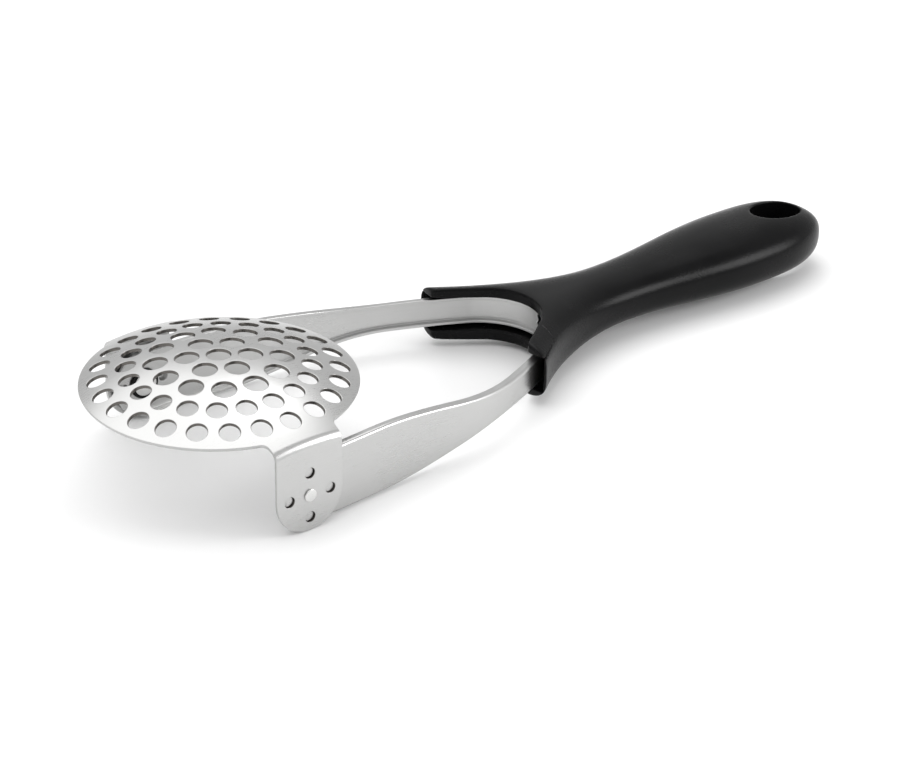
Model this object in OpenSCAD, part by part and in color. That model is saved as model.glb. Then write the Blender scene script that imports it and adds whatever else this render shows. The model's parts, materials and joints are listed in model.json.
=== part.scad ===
// Folding potato masher: a domed, perforated plate turns on two rivets between the arms of a
// U-shaped steel band, and the band is held in the forked end of a moulded grip.
// Millimetres. +X runs from the plate to the grip, +Z is up, and the masher lies on z = 0.

/* [Overall] */
// Length from the free edge of the plate to the end of the grip
overall_l = 294.5; // [290:0.5:300]

/* [Plate] */
// Diameter of the round plate
plate_d = 85; // [84:0.5:86]
// Height of the crown above the rim
crown_h = 8.9; // [7:0.1:10]
// Thickness of the sheet that the plate and its tabs are pressed from
sheet_t = 1.1; // [0.9:0.1:1.2]
// Diameter of the centre hole and of the holes in the two inner rings
inner_hole_d = 7.5; // [6:0.1:7.8]
// Diameter of the holes in the two outer rings
outer_hole_d = 6.3; // [5:0.1:6.6]
// Radius of each ring of holes, from the centre out
ring_r = [9.6, 19.1, 28, 36.6]; // [9:0.1:38]
// Number of holes in each ring
ring_n = [6, 12, 20, 24]; // [6:1:24]

/* [Tabs] */
// Width of each tab
tab_w = 23.8; // [22:0.2:25]
// Distance between the outer faces of the two tabs
tab_span = 91.6; // [91:0.2:93]
// Drop from the rim plane to the pivot axis
pivot_drop = 18.8; // [17:0.2:22]
// Inside radius of the bend between the plate and each tab
bend_r = 2.5; // [1.5:0.1:3]
// Radius of the concave corners between the rim and each tab
corner_r = 2.5; // [1.5:0.1:3]
// Distance of the four detent holes from the pivot axis
detent_r = 7.4; // [7:0.1:8]
// Diameter of the detent holes
detent_hole_d = 3.5; // [3:0.1:3.8]

/* [Band] */
// Thickness of the band's sheet
band_t = 1.1; // [0.9:0.1:1.2]
// Depth of the folded-in flanges, measured from the outer face
flange_d = 2.7; // [2:0.1:3]
// Height of the arms at the pivot
arm_h = 22.4; // [20:0.2:23]
// Length of the rounded end of each arm beyond the pivot
arm_end = 10; // [9.8:0.1:11]
// Distance of the flanges' ends from the pivot, towards the end of the arm
flange_start = -2.5; // [-4:0.1:-1]
// Height of the band in the fork
band_h = 9.8; // [9:0.2:10.4]
// Distances from the pivot between which the arms taper
taper_x = [28, 90]; // [20:1:92]
// Gap between the outer face of each arm and its tab
tab_gap = 1.4; // [1.3:0.05:1.6]
// Angles of the arms to the centre line: beside the plate, past the bend, and where they meet the base
arm_angles = [4, 21, 28]; // [3:0.5:30]
// Outside radii of the bend in each arm, of the arm in the fork, and of the base
arm_radii = [95, 234, 25]; // [20:1:240]
// Distance from the pivot to the centre of the base's arc
base_x = 102.4; // [101:0.2:103]

/* [Fork] */
// Height of the fork over both flanges
fork_h = 20.6; // [20:0.2:21.4]
// Height of the groove between the fork's flanges
groove_h = 12; // [11.4:0.2:12.4]
// Distance from the pivot to the centre of the throat's arc
throat_x = 105; // [104.5:0.1:105.5]
// Radius of the throat
throat_r = 17.4; // [17:0.1:18]
// Angle of the throat's straight sides to the centre line
throat_angle = 35.7; // [34:0.1:37]
// Distance from the pivot to the fork's two tips
tip_x = 101.2; // [100:0.2:102]
// Slant of the branches' end faces, which lie further back on the outside
tip_slant = 8.5; // [6:0.5:12]
// Radius of the rounded corners of the end faces, seen from the side
tip_r = 2; // [1:0.1:3]
// Thickness of each branch's outer wall at its tip
wall_t = 1.4; // [1.2:0.1:2]

/* [Grip] */
// Width and height of the grip at its waist
waist = [25.2, 17]; // [16:0.2:28]
// Width and height of the grip at its swell
swell = [36, 21.4]; // [20:0.2:38]
// Distances from the pivot to the waist and to the swell
grip_x = [158, 215]; // [150:1:220]
// Extra half width of the fork over the waist, at its root outline
flare = 22.2; // [21:0.2:23]
// Height of the grip's centre line above the pivot axis
grip_lift = 0.4; // [0:0.1:1]
// Wall thickness of the hollow grip
grip_wall = 2.4; // [2:0.1:3]
// Length and width of the hanging hole
hang_hole = [20.3, 13.8]; // [12:0.1:22]
// Distance from the end of the grip to the middle of the hanging hole
hang_end = 17.5; // [17:0.5:20]

/* [Fixings] */
// Diameter of the rivet shanks
rivet_d = 3; // [2.6:0.1:3.4]
// Diameter of the rivet heads
rivet_head_d = 4.3; // [4:0.1:5]
// Diameter of the rivets' closed tails, between the arms
rivet_tail_d = 8; // [6:0.2:9]
// Diameter of the washers under the tails
tail_washer_d = 10; // [9:0.2:10.4]
// Diameter of the washers between the arms and the tabs
washer_d = 9; // [8:0.2:9.6]
// Diameter of the stud that anchors the band in the grip
stud_d = 4; // [3.5:0.1:4.5]

/* [Hidden] */
$fn = 64;

steel = [0.78, 0.78, 0.77];
bright = [0.86, 0.86, 0.86];
black = [0.10, 0.10, 0.11];
nylon = [0.16, 0.16, 0.17];

running_gap = 0.05;                            // clearance between a turning face and its neighbour
plate_r = plate_d / 2;
pivot_x = plate_r - overall_l / 2;             // pivot axis in the part's frame
pivot_z = tab_w / 2;                           // the round ends of the tabs touch the table
end_x = overall_l - plate_r;                   // end of the grip, measured from the pivot
dome_r = (plate_r * plate_r + crown_h * crown_h) / (2 * crown_h);

tab_y = tab_span / 2;                          // outer face of a tab
bend_out = bend_r + sheet_t;
bend_c = tab_y - bend_out;                     // centre of the bend across the part
bend_ring = sqrt(pow(dome_r - bend_out, 2) - bend_c * bend_c);    // and from the middle of the sphere
bend_slope = atan2(bend_c, bend_ring);         // slope of the neck where the bend starts
arm_y = tab_y - sheet_t - tab_gap;             // outer face of an arm at the pivot
boss_h = tab_gap - running_gap;                // height of the flat detent bosses on the arms
boss_r = [2.3, 1.9];                           // their radii at the foot and at the top
boss_wall = 0.5;                               // how much smaller the recess behind each boss is
washer_t = tab_gap - running_gap;
tail_washer_t = 0.8;

hang_x = end_x - hang_end;
cavity_x = [133, hang_x - hang_hole[0] / 2 - 4];
post_x = [160, 200];                           // posts that join the cover to the body
post_d = 4;
boss_d = 8;
stud_l = 15;
split_k = 0.78;                                // share of the half height above the cover's edge
reach = 60;                                    // longer than any cut made through the part
lap = 3.5;                                     // how far a trimming block runs past what it trims
flare_x = 100;                                 // where the outline of the fork starts to close in
flare_power = 2.3;
fork_back = throat_x + 8;                      // where the height of the fork starts to fall
end_power = [2.5, 4];                          // roundness of the grip's end in plan and from the side
blunt = 12;                                    // length of the end over which the cover keeps its edge

function clamp01(t) = max(0, min(1, t));
function ramp(x, a, b) = clamp01((x - a) / (b - a));
function ease(t) = (1 - cos(180 * t)) / 2;
function mix(a, b, t) = a + (b - a) * t;
function spow(v, p) = sign(v) * pow(abs(v), p);
function flip_y(pts) = [for (p = pts) [p[0], -p[1]]];
function reversed(pts) = [for (i = [len(pts) - 1 : -1 : 0]) pts[i]];
function off_axis(pts) = [for (p = pts) if (p[1] > 0.01) p];

// ---- band: plan and side outlines, measured from the pivot ----

// Points of an arc of radius r about c, between two directions of travel to the centre line.
function travel_arc(c, r, a0, a1, n) =
    [for (i = [0 : n]) let (a = mix(a0, a1, i / n)) c + r * [sin(a), cos(a)]];

// One side of the band in plan, from the pivot end to the middle of the base, set in by d.
function band_side(d) =
    let (a = arm_angles, r = arm_radii,
         c2 = [base_x, 0],
         c1 = c2 - (r[1] - r[2]) * [sin(a[2]), cos(a[2])],
         c0 = c1 - (r[0] - r[1]) * [sin(a[1]), cos(a[1])],
         p = c0 + (r[0] - d) * [sin(a[0]), cos(a[0])],
         pad_x = p[0] - (arm_y - d - p[1]) / tan(a[0]))
    concat([[-arm_h, arm_y - d], [pad_x, arm_y - d]],
           travel_arc(c0, r[0] - d, a[0], a[1], 8),
           travel_arc(c1, r[1] - d, a[1] + 1.5, a[2], 4),
           travel_arc(c2, r[2] - d, a[2] + 4, 90, 14));

// The whole band in plan, between outlines set in by d_out and d_in.
function band_plan(d_out, d_in) =
    let (outer = band_side(d_out), inner = band_side(d_in))
    concat(outer, flip_y(reversed(off_axis(outer))), flip_y(off_axis(inner)), reversed(inner));

// Half height of the band at x.
function band_half(x) = mix(arm_h, band_h, ease(ramp(x, taper_x[0], taper_x[1]))) / 2;

// Side outline of the band, set in by d: rounded past the pivot, tapered along the arms.
function band_profile(d) =
    let (r = arm_h / 2 - d, n = 16,
         top = [for (i = [0 : n]) let (x = mix(taper_x[0], taper_x[1], i / n)) [x, band_half(x) - d]],
         round_end = [for (a = [90 : 7.5 : 270]) [(arm_end - d) * cos(a), r * sin(a)]])
    concat(round_end, [for (p = top) [p[0], -p[1]]],
           [[end_x, d - band_h / 2], [end_x, band_h / 2 - d]],
           [for (i = [n : -1 : 0]) top[i]]);

// A solid strip that follows the plan and is as tall as the side outline set in by edge.
module band_bar(d_out, d_in, edge) {
    intersection() {
        translate([0, 0, -arm_h]) linear_extrude(2 * arm_h) polygon(band_plan(d_out, d_in));
        rotate([90, 0, 0]) linear_extrude(2 * tab_span, center = true) polygon(band_profile(edge));
    }
}

// ---- grip: half width, half height and section ----

function grip_half_w(x) =
    x < grip_x[0] ? waist[0] / 2 + flare * pow(1 - ramp(x, flare_x, grip_x[0]), flare_power)
    : x < grip_x[1] ? mix(waist[0], swell[0], ease(ramp(x, grip_x[0], grip_x[1]))) / 2
    : swell[0] / 2 * sqrt(1 - pow(min(0.998, ramp(x, grip_x[1], end_x)), end_power[0]));

function grip_half_h(x) =
    x < grip_x[0] ? mix(fork_h, waist[1], ease(ramp(x, fork_back, grip_x[0]))) / 2
    : x < grip_x[1] ? mix(waist[1], swell[1], ease(ramp(x, grip_x[0], grip_x[1]))) / 2
    : swell[1] / 2 * sqrt(1 - pow(min(0.998, ramp(x, grip_x[1], end_x)), end_power[1]));

function grip_mid(x) = grip_lift * ease(ramp(x, fork_back, grip_x[0]));

// Squareness of the section: boxy at the fork, nearly elliptical along the grip.
function grip_power(x) = mix(4, 2.3, ease(ramp(x, tip_x, grip_x[0])));

function section(x, w, top, low, n) =
    [for (i = [0 : n - 1]) let (a = 360 * i / n, p = 2 / grip_power(x), s = sin(a))
        [x, w * spow(cos(a), p), grip_mid(x) + (s > 0 ? top : low) * spow(s, p)]];

// Closed solid through equal rings of points.
module loft(rings) {
    n = len(rings[0]);
    m = len(rings);
    sides = [for (i = [0 : m - 2], j = [0 : n - 1])
        let (k = (j + 1) % n) [i * n + j, (i + 1) * n + j, (i + 1) * n + k, i * n + k]];
    caps = [[for (j = [0 : n - 1]) j], [for (j = [n - 1 : -1 : 0]) (m - 1) * n + j]];
    tris = [for (f = sides) each [[f[0], f[1], f[2]], [f[0], f[2], f[3]]]];
    polyhedron([for (r = rings) each r], concat(tris, caps));
}

function end_stations(n) = [for (i = [1 : n]) mix(grip_x[1], end_x, sin(90 * i / n))];

module grip_outer() {
    stations = concat([for (i = [0 : 18]) mix(tip_x - 6, grip_x[0], i / 18)],
                      [for (i = [1 : 7]) mix(grip_x[0], grip_x[1], i / 7)],
                      end_stations(12));
    loft([for (x = stations) section(x, grip_half_w(x), grip_half_h(x), grip_half_h(x), 32)]);
}

module grip_cavity() {
    stations = [for (i = [0 : 9]) mix(cavity_x[0], cavity_x[1], i / 9)];
    loft([for (x = stations)
        section(x, grip_half_w(x) - grip_wall, grip_half_h(x) - grip_wall, grip_half_h(x) - 0.6, 20)]);
}

// Everything below the edge of the cover, which runs parallel to the grip's underside.
module below_split(drop) {
    n = 14;
    edge = [for (i = [0 : n]) let (x = mix(cavity_x[0] - 3, end_x - 1, i / n))
        [x, grip_mid(x) - split_k * grip_half_h(min(x, end_x - blunt)) - drop]];
    rotate([90, 0, 0]) linear_extrude(reach, center = true)
        polygon(concat([[edge[0][0], -reach]], edge, [[end_x + 5, edge[n][1]], [end_x + 5, -reach]]));
}

// The open throat between the two branches.
module throat() {
    a = throat_angle;
    p = [throat_x + throat_r * sin(a), throat_r * cos(a)];
    far = p + reach * [-cos(a), sin(a)];
    translate([throat_x, 0, -reach / 2]) cylinder(r = throat_r, h = reach, $fn = 96);
    translate([0, 0, -reach / 2]) linear_extrude(reach)
        polygon([p, far, [far[0], -far[1]], [p[0], -p[1]]]);
}

// The groove that runs round the inside of the fork and takes the band.
module groove() {
    a = throat_angle;
    r = arm_radii[2];
    seat = base_x + r * sin(arm_angles[2]);
    out = [tip_x + 3, grip_half_w(tip_x + 3) - wall_t];
    far = out + throat_r * [-cos(a), sin(a)];
    root = [seat, r * cos(arm_angles[2])];
    translate([base_x, 0, -groove_h / 2]) cylinder(r = r - band_t + 0.3, h = groove_h, $fn = 96);
    translate([0, 0, -groove_h / 2]) linear_extrude(groove_h)
        polygon([[seat - 2, 0], root, out, far, [far[0], -far[1]], [out[0], -out[1]],
                 [root[0], -root[1]]]);
    intersection() {
        translate([base_x, 0, -band_h / 2 - 0.1]) cylinder(r = r + 0.02, h = band_h + 0.2, $fn = 96);
        translate([seat - 2, -reach, -reach]) cube(2 * reach);
    }
}

function fork_tip() =
    let (a = throat_angle, p = [throat_x + throat_r * sin(a), throat_r * cos(a)])
    [tip_x, p[1] + (p[0] - tip_x) * tan(a)];

// What is cut from the end of one branch to leave a square end with rounded corners.
module tip_cut() {
    r = tip_r;
    h = fork_h / 2;
    tip = fork_tip();
    translate([tip[0], tip[1], 0]) rotate(-tip_slant) rotate([90, 0, 0])
        linear_extrude(reach, center = true) difference() {
            translate([-reach / 2, -reach / 2]) square([reach / 2 + r, reach]);
            translate([0, r - h]) square([r + 1, 2 * (h - r)]);
            for (s = [-1, 1]) translate([r, s * (h - r)]) circle(r = r);
        }
}

// ---- the pieces, each about the pivot ----

// The neck, bend and flat of a tab, as a section swung about the middle of the dome's sphere.
// The neck starts inside the thickness of the plate.
module swung_tab() {
    n = 8;
    root = 0.1;
    start = asin((plate_r - 1.5) / dome_r);
    bend = [for (i = [0 : n]) mix(bend_slope, 90, i / n)];
    foot = dome_r - crown_h - pivot_drop - 1;
    translate([0, 0, pivot_drop + crown_h - dome_r]) rotate([-90, 0, 0]) rotate_extrude($fn = 180)
        polygon(concat([(dome_r - root) * [cos(start), sin(start)]],
            [for (a = bend) [bend_ring, bend_c] + bend_out * [cos(a), sin(a)]],
            [[foot, tab_y], [foot, tab_y - sheet_t]],
            [for (i = [n : -1 : 0]) [bend_ring, bend_c] + bend_r * [cos(bend[i]), sin(bend[i])]],
            [(dome_r - sheet_t + root) * [cos(start), sin(start)]]));
}

module tab() {
    t = sheet_t;
    difference() {
        union() {
            translate([0, tab_y, 0]) rotate([90, 0, 0]) cylinder(r = tab_w / 2, h = t, $fn = 96);
            intersection() {
                swung_tab();
                translate([-tab_w / 2, 0, 0]) cube([tab_w, tab_y + lap, pivot_drop + crown_h]);
            }
        }
        for (k = [0 : 3]) rotate([0, 90 * k, 0]) translate([detent_r, tab_y + 1, 0])
            rotate([90, 0, 0]) cylinder(d = detent_hole_d, h = t + 2);
        translate([0, tab_y + 1, 0]) rotate([90, 0, 0])
            cylinder(d = rivet_d + 2 * running_gap, h = t + 2);
    }
}

// Fills the corner between the rim and one side of a tab in plan, up to a concave arc.
module corner() {
    f = corner_r;
    n = 8;
    c = [tab_w / 2 + f, sqrt(pow(plate_r + f, 2) - pow(tab_w / 2 + f, 2))];
    from = atan2(-c[1], -c[0]);
    linear_extrude(dome_r) polygon(concat([[tab_w / 2 - 1, c[1]]],
        [for (i = [0 : n]) let (a = mix(-180, from, i / n)) c + f * [cos(a), sin(a)]],
        [(plate_r - 1) / (plate_r + f) * c, [tab_w / 2 - 1, c[1] - f]]));
}

module masher_head() {
    color(steel) difference() {
        union() {
            intersection() {
                translate([0, 0, pivot_drop + crown_h - dome_r]) difference() {
                    sphere(r = dome_r, $fn = 180);
                    sphere(r = dome_r - sheet_t, $fn = 180);
                }
                union() {
                    cylinder(r = plate_r, h = dome_r, $fn = 180);
                    for (a = [0, 180], m = [0, 1]) rotate(a) mirror([m, 0, 0]) corner();
                }
            }
            tab();
            rotate(180) tab();
        }
        cylinder(d = inner_hole_d, h = reach);
        for (k = [0 : 3], i = [0 : ring_n[k] - 1])
            rotate(90 + 360 * i / ring_n[k]) translate([ring_r[k], 0, 0])
                cylinder(d = k < 2 ? inner_hole_d : outer_hole_d, h = reach);
    }
}

module spring_band() {
    color(steel) difference() {
        union() {
            difference() {
                band_bar(0, flange_d, 0);
                band_bar(band_t, flange_d + 2, band_t);
            }
            for (s = [-1, 1], k = [0 : 3]) rotate([0, 90 * k, 0]) translate([detent_r, s * arm_y, 0])
                detent_boss(s);
        }
        for (s = [-1, 1]) {
            for (k = [0 : 3]) rotate([0, 90 * k, 0]) translate([detent_r, s * (arm_y - band_t), 0])
                rotate([-90 * s, 0, 0]) translate([0, 0, -1])
                    cylinder(r1 = boss_r[0] - boss_wall, r2 = boss_r[1] - boss_wall, h = boss_h + 1);
            translate([0, s * arm_y, 0]) rotate([90, 0, 0])
                cylinder(d = rivet_d, h = 4 * band_t, center = true);
        }
        translate([flange_start - arm_h, band_t - arm_y, -arm_h])
            cube([arm_h, 2 * (arm_y - band_t), 2 * arm_h]);
    }
}

// A flat-topped boss that stands out from an arm and clicks into a hole of the tab.
module detent_boss(s) {
    rotate([-90 * s, 0, 0]) translate([0, 0, -0.3])
        cylinder(r1 = boss_r[0], r2 = boss_r[1], h = boss_h + 0.3);
}

module rivet() {
    head_y = tab_y + running_gap;
    tail_y = arm_y - band_t - tail_washer_t;
    color(bright) {
        translate([0, head_y + 0.01, 0]) rotate([90, 0, 0])
            cylinder(d = rivet_d, h = head_y - tail_y + 0.02);
        translate([0, head_y, 0]) rotate([-90, 0, 0]) rivet_head(rivet_head_d / 2, 0.6);
        translate([0, tail_y, 0]) rotate([90, 0, 0]) rivet_head(rivet_tail_d / 2, 1.1);
    }
}

module rivet_head(r, h) {
    rotate_extrude() polygon(concat([[0, 0], [r, 0], [r, 0.25 * h]],
        [for (a = [15 : 15 : 90]) [r - 0.55 * r * (1 - cos(a)), 0.25 * h + 0.75 * h * sin(a)]],
        [[0, h]]));
}

module spacer_washer() {
    color(nylon) translate([0, arm_y, 0]) rotate([-90, 0, 0])
        difference() {
            cylinder(d = washer_d, h = washer_t);
            translate([0, 0, -1]) cylinder(d = rivet_d, h = washer_t + 2);
        }
}

module tail_washer() {
    color(nylon) translate([0, arm_y - band_t, 0]) rotate([90, 0, 0])
        difference() {
            cylinder(d = tail_washer_d, h = tail_washer_t);
            translate([0, 0, -1]) cylinder(d = rivet_d, h = tail_washer_t + 2);
        }
}

module handle_body() {
    color(black) difference() {
        grip_outer();
        below_split(0);
        difference() {
            grip_cavity();
            for (x = post_x) translate([x, 0, -20]) cylinder(d = boss_d, h = 40);
            translate([cavity_x[0] - 1, 0, 0]) rotate([0, 90, 0]) cylinder(d = boss_d, h = 13);
        }
        for (x = post_x) translate([x, 0, -20]) cylinder(d = post_d, h = 22);
        translate([base_x + arm_radii[2] - 1, 0, 0]) rotate([0, 90, 0])
            cylinder(d = stud_d, h = stud_l + 2);
        throat();
        groove();
        tip_cut();
        mirror([0, 1, 0]) tip_cut();
        hanging_hole();
    }
}

module hanging_hole() {
    n = 48;
    translate([hang_x, 0, -reach / 2]) linear_extrude(reach)
        polygon([for (i = [0 : n - 1]) let (a = 360 * i / n)
            [hang_hole[0] / 2 * cos(a), hang_hole[1] / 2 * sin(a)]]);
}

module handle_cover() {
    color(black) {
        difference() {
            intersection() {
                grip_outer();
                below_split(0.03);
            }
            hanging_hole();
        }
        for (x = post_x) translate([x, 0, -0.9 * grip_half_h(x)]) cylinder(d = post_d - 0.04, h = 8);
    }
}

// A ribbed stud behind the middle of the band, moulded into the grip.
module anchor_stud() {
    r = stud_d / 2 - 0.02;
    rib = 2.5;
    n = floor((stud_l - 2) / rib);
    color(bright) translate([base_x + arm_radii[2] + 0.02, 0, 0]) rotate([0, 90, 0]) difference() {
        cylinder(r = r, h = stud_l);
        for (i = [1 : n]) translate([0, 0, rib * i]) difference() {
            cylinder(r = r + 1, h = rib / 2);
            translate([0, 0, -1]) cylinder(r = 0.8 * r, h = rib + 2);
        }
    }
}

module at_pivot() {
    translate([pivot_x, 0, pivot_z]) children();
}

// The left side is -Y and the right side is +Y, as seen from the grip.
module left_side() {
    mirror([0, 1, 0]) children();
}

at_pivot() masher_head();
at_pivot() spring_band();
at_pivot() left_side() rivet();  // left_rivet
at_pivot() rivet();  // right_rivet
at_pivot() left_side() spacer_washer();  // left_spacer_washer
at_pivot() spacer_washer();  // right_spacer_washer
at_pivot() left_side() tail_washer();  // left_tail_washer
at_pivot() tail_washer();  // right_tail_washer
at_pivot() handle_body();
at_pivot() handle_cover();
at_pivot() anchor_stud();
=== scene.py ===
"""Looks of the folding potato masher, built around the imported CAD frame.

Shapes are worked out in millimetres about the pivot axis of the head, and placed with the joint's position.
"""

import json
import math

import bmesh
import bpy
import numpy as np
from mathutils import Matrix, Vector
from mathutils.geometry import delaunay_2d_cdt


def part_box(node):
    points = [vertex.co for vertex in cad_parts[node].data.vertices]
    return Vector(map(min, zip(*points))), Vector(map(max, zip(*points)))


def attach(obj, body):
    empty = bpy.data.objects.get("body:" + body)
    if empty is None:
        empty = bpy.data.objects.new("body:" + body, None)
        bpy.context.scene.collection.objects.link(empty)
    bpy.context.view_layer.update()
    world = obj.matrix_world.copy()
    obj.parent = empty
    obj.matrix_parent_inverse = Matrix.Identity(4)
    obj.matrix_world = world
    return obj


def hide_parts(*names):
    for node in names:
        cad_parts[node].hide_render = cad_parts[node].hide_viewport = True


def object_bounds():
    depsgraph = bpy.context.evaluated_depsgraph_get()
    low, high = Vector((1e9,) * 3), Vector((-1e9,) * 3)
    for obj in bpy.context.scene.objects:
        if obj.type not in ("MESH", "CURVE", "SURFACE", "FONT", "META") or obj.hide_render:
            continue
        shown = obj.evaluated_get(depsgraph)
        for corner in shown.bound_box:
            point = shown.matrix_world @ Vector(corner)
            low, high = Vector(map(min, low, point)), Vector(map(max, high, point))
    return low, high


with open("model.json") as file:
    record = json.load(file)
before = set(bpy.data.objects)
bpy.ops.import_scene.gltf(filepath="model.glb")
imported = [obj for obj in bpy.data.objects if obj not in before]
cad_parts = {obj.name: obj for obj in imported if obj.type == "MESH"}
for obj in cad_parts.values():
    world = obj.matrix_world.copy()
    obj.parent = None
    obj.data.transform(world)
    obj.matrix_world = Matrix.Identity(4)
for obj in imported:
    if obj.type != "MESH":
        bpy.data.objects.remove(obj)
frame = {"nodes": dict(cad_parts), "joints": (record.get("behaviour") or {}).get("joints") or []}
CAD_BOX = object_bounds()
JOINT = frame["joints"][0]
PIVOT = np.array(JOINT["pos_m"], float)
MM = 0.001

# ---- dimensions of the part, in millimetres from the pivot ----

# the plate and its tabs
PLATE_R, CROWN, SHEET_T = 42.5, 8.9, 1.1
PIVOT_DROP, TAB_HALF, TAB_Y, BEND_R, CORNER_R = 18.8, 11.9, 45.8, 2.5, 2.5
CENTRE_D, RINGS = 7.5, ((9.6, 6, 7.5), (19.1, 12, 7.5), (28.0, 20, 6.3), (36.6, 24, 6.3))
# the click of the head: holes in the tabs, bosses (foot and top radius) on the arms
DETENT_R, DETENT_D, BOSS_R, BOSS_H, BOSS_WALL = 7.4, 3.5, (2.2, 1.45), 1.8, 0.5
# the band: half heights at the pivot and the base, then angles and radii of its arcs in plan
ARM_Y, BAND_T, FLANGE_D = 43.3, 1.1, 2.7
ARM_HALF, BAND_HALF, TAPER, ARM_END, FLANGE_END = 11.2, 4.9, (28.0, 90.0), 10.0, 2.5
ARM_ANGLES, ARM_RADII, BASE_X = (4.0, 21.0, 28.0), (95.0, 234.0, 25.0), 102.4
FLANGE_BEND, FLANGE_LIP, FLANGE_INNER = 1.15, 0.25, 0.2
# rivets and washers
RIVET_R, RIVET_HEAD_R, RIVET_HEAD_H, RIVET_TAIL_R, RIVET_TAIL_H = 1.5, 2.15, 0.6, 4.0, 1.1
SPACER_R, SPACER_T, TAIL_WASHER_R, TAIL_WASHER_T, PLAY = 4.5, 1.35, 5.0, 0.8, 0.05
# the fork, then width and height of the grip at its waist and swell
FORK_HALF, GROOVE_HALF, THROAT_X, THROAT_R, THROAT_A = 10.3, 6.0, 105.0, 17.4, 35.7
TIP_X, TIP_SLANT, TIP_R, WALL_T = 101.2, 8.5, 2.5, 1.4
WAIST, SWELL, GRIP_X, FLARE, LIFT = (25.2, 17.0), (36.0, 21.4), (158.0, 215.0), 22.2, 0.4
END_X = (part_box("handle_body")[1].x - PIVOT[0]) / MM
HANG, HANG_X = (20.3, 13.8), END_X - 17.5
# the cover's edge, and the gap and softened lip along it
SPLIT_K, SPLIT_X, BLUNT, CUT_GAP, CUT_LIP = 0.78, 130.0, 12.0, 0.05, 0.22
RIM_INSET, RIM_LEAN = 0.12, 0.9


# ---- numbers and curves ----

def smooth(t):
    t = np.clip(t, 0, 1)
    return t * t * (3 - 2 * t)


def ease(t):
    return (1 - np.cos(np.pi * np.clip(t, 0, 1))) / 2


def soft_max(a, b, k):
    """The larger of a and b, with the corner between them rounded over about k."""
    return (a + b + np.sqrt((a - b) ** 2 + k * k)) / 2


def unit(v):
    return v / np.maximum(np.linalg.norm(v, axis=-1, keepdims=True), 1e-12)


def resample(points, step):
    """A closed polyline with points about step apart."""
    p = np.vstack([points, points[:1]])
    s = np.concatenate([[0], np.cumsum(np.linalg.norm(np.diff(p, axis=0), axis=1))])
    n = max(8, int(round(s[-1] / step)))
    t = np.linspace(0, s[-1], n, endpoint=False)
    return np.stack([np.interp(t, s, p[:, 0]), np.interp(t, s, p[:, 1])], 1)


def inward(points, hole):
    """Unit directions from a closed outline into the material: left of a counter-clockwise outline."""
    tangent = np.roll(points, -1, 0) - np.roll(points, 1, 0)
    area = np.sum(points[:, 0] * np.roll(points[:, 1], -1) - np.roll(points[:, 0], -1) * points[:, 1])
    left = unit(np.stack([-tangent[:, 1], tangent[:, 0]], 1)) * (1 if area > 0 else -1)
    return -left if hole else left


def contains(outline, q):
    """True for each point of q inside a closed polyline."""
    inside = np.zeros(len(q), bool)
    a, b = outline, np.roll(outline, -1, 0)
    for (x0, y0), (x1, y1) in zip(a, b):
        if y0 != y1:
            cross = (y0 > q[:, 1]) != (y1 > q[:, 1])
            inside ^= cross & (q[:, 0] < (x1 - x0) * (q[:, 1] - y0) / (y1 - y0) + x0)
    return inside


def nearest(q, points):
    """Distance from each of q to the nearest of points."""
    best = np.full(len(q), 1e9)
    for i in range(0, len(points), 256):
        d = np.linalg.norm(q[:, None, :] - points[None, i : i + 256, :], axis=2)
        best = np.minimum(best, d.min(1))
    return best


# ---- meshes ----

def add_piece(name, mesh, material, body, node):
    """An object that rides on a body in place of a CAD node."""
    obj = bpy.data.objects.new(name, mesh)
    bpy.context.scene.collection.objects.link(obj)
    mesh.materials.append(material)
    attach(obj, body)
    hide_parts(node)


def place(name, verts, faces, corner_normals, material, body, node, brush=None):
    """A smooth piece from points in millimetres about the pivot.
    brush holds each point's place on the flat blank, which the brushed finish follows, and whether it is
    on the wall of a punched hole."""
    mesh = bpy.data.meshes.new(name)
    mesh.from_pydata((np.asarray(verts) * MM + PIVOT).tolist(), [], [list(map(int, f)) for f in faces])
    mesh.polygons.foreach_set("use_smooth", np.ones(len(mesh.polygons), bool))
    mesh.update()
    mesh.normals_split_custom_set(np.asarray(corner_normals).tolist())
    if brush is not None:
        mesh.attributes.new("brush", "FLOAT_VECTOR", "POINT").data.foreach_set("vector", brush.ravel())
    add_piece(name, mesh, material, body, node)


def edge_profile(t, top, bottom, steps=4):
    """Profile round a sheet's edge: rows of (inset, depth, share along the edge, share along the face)."""
    rows = []
    for a in np.linspace(0, np.pi / 2, steps + 1):
        rows.append((top * (1 - np.sin(a)), top * (1 - np.cos(a)), np.sin(a), np.cos(a)))
    for a in np.linspace(np.pi / 2, np.pi, steps):
        rows.append((bottom * (1 - np.sin(a)), t - bottom * (1 + np.cos(a)), np.sin(a), np.cos(a)))
    return np.array(rows)


def flange_profile(t, depth, bend, lip, inner):
    """Profile of a folded-in flange: round the bend, down the outside, round its edge and back up inside."""
    rows = []
    for a in np.linspace(0, np.pi / 2, 8):
        rows.append((bend * (1 - np.sin(a)), bend * (1 - np.cos(a)), np.sin(a), np.cos(a)))
    for a in np.linspace(np.pi / 2, np.pi, 5):
        rows.append((lip * (1 - np.sin(a)), depth - lip * (1 + np.cos(a)), np.sin(a), np.cos(a)))
    for a in np.linspace(np.pi, 1.5 * np.pi, 5):
        rows.append((t - lip * (1 + np.sin(a)), depth - lip * (1 + np.cos(a)), np.sin(a), np.cos(a)))
    for a in np.linspace(0, np.pi / 2, 5):
        c = t + inner
        rows.append((c - inner * np.cos(a), c - inner * np.sin(a), -np.cos(a), -np.sin(a)))
    return np.array(rows)


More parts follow.
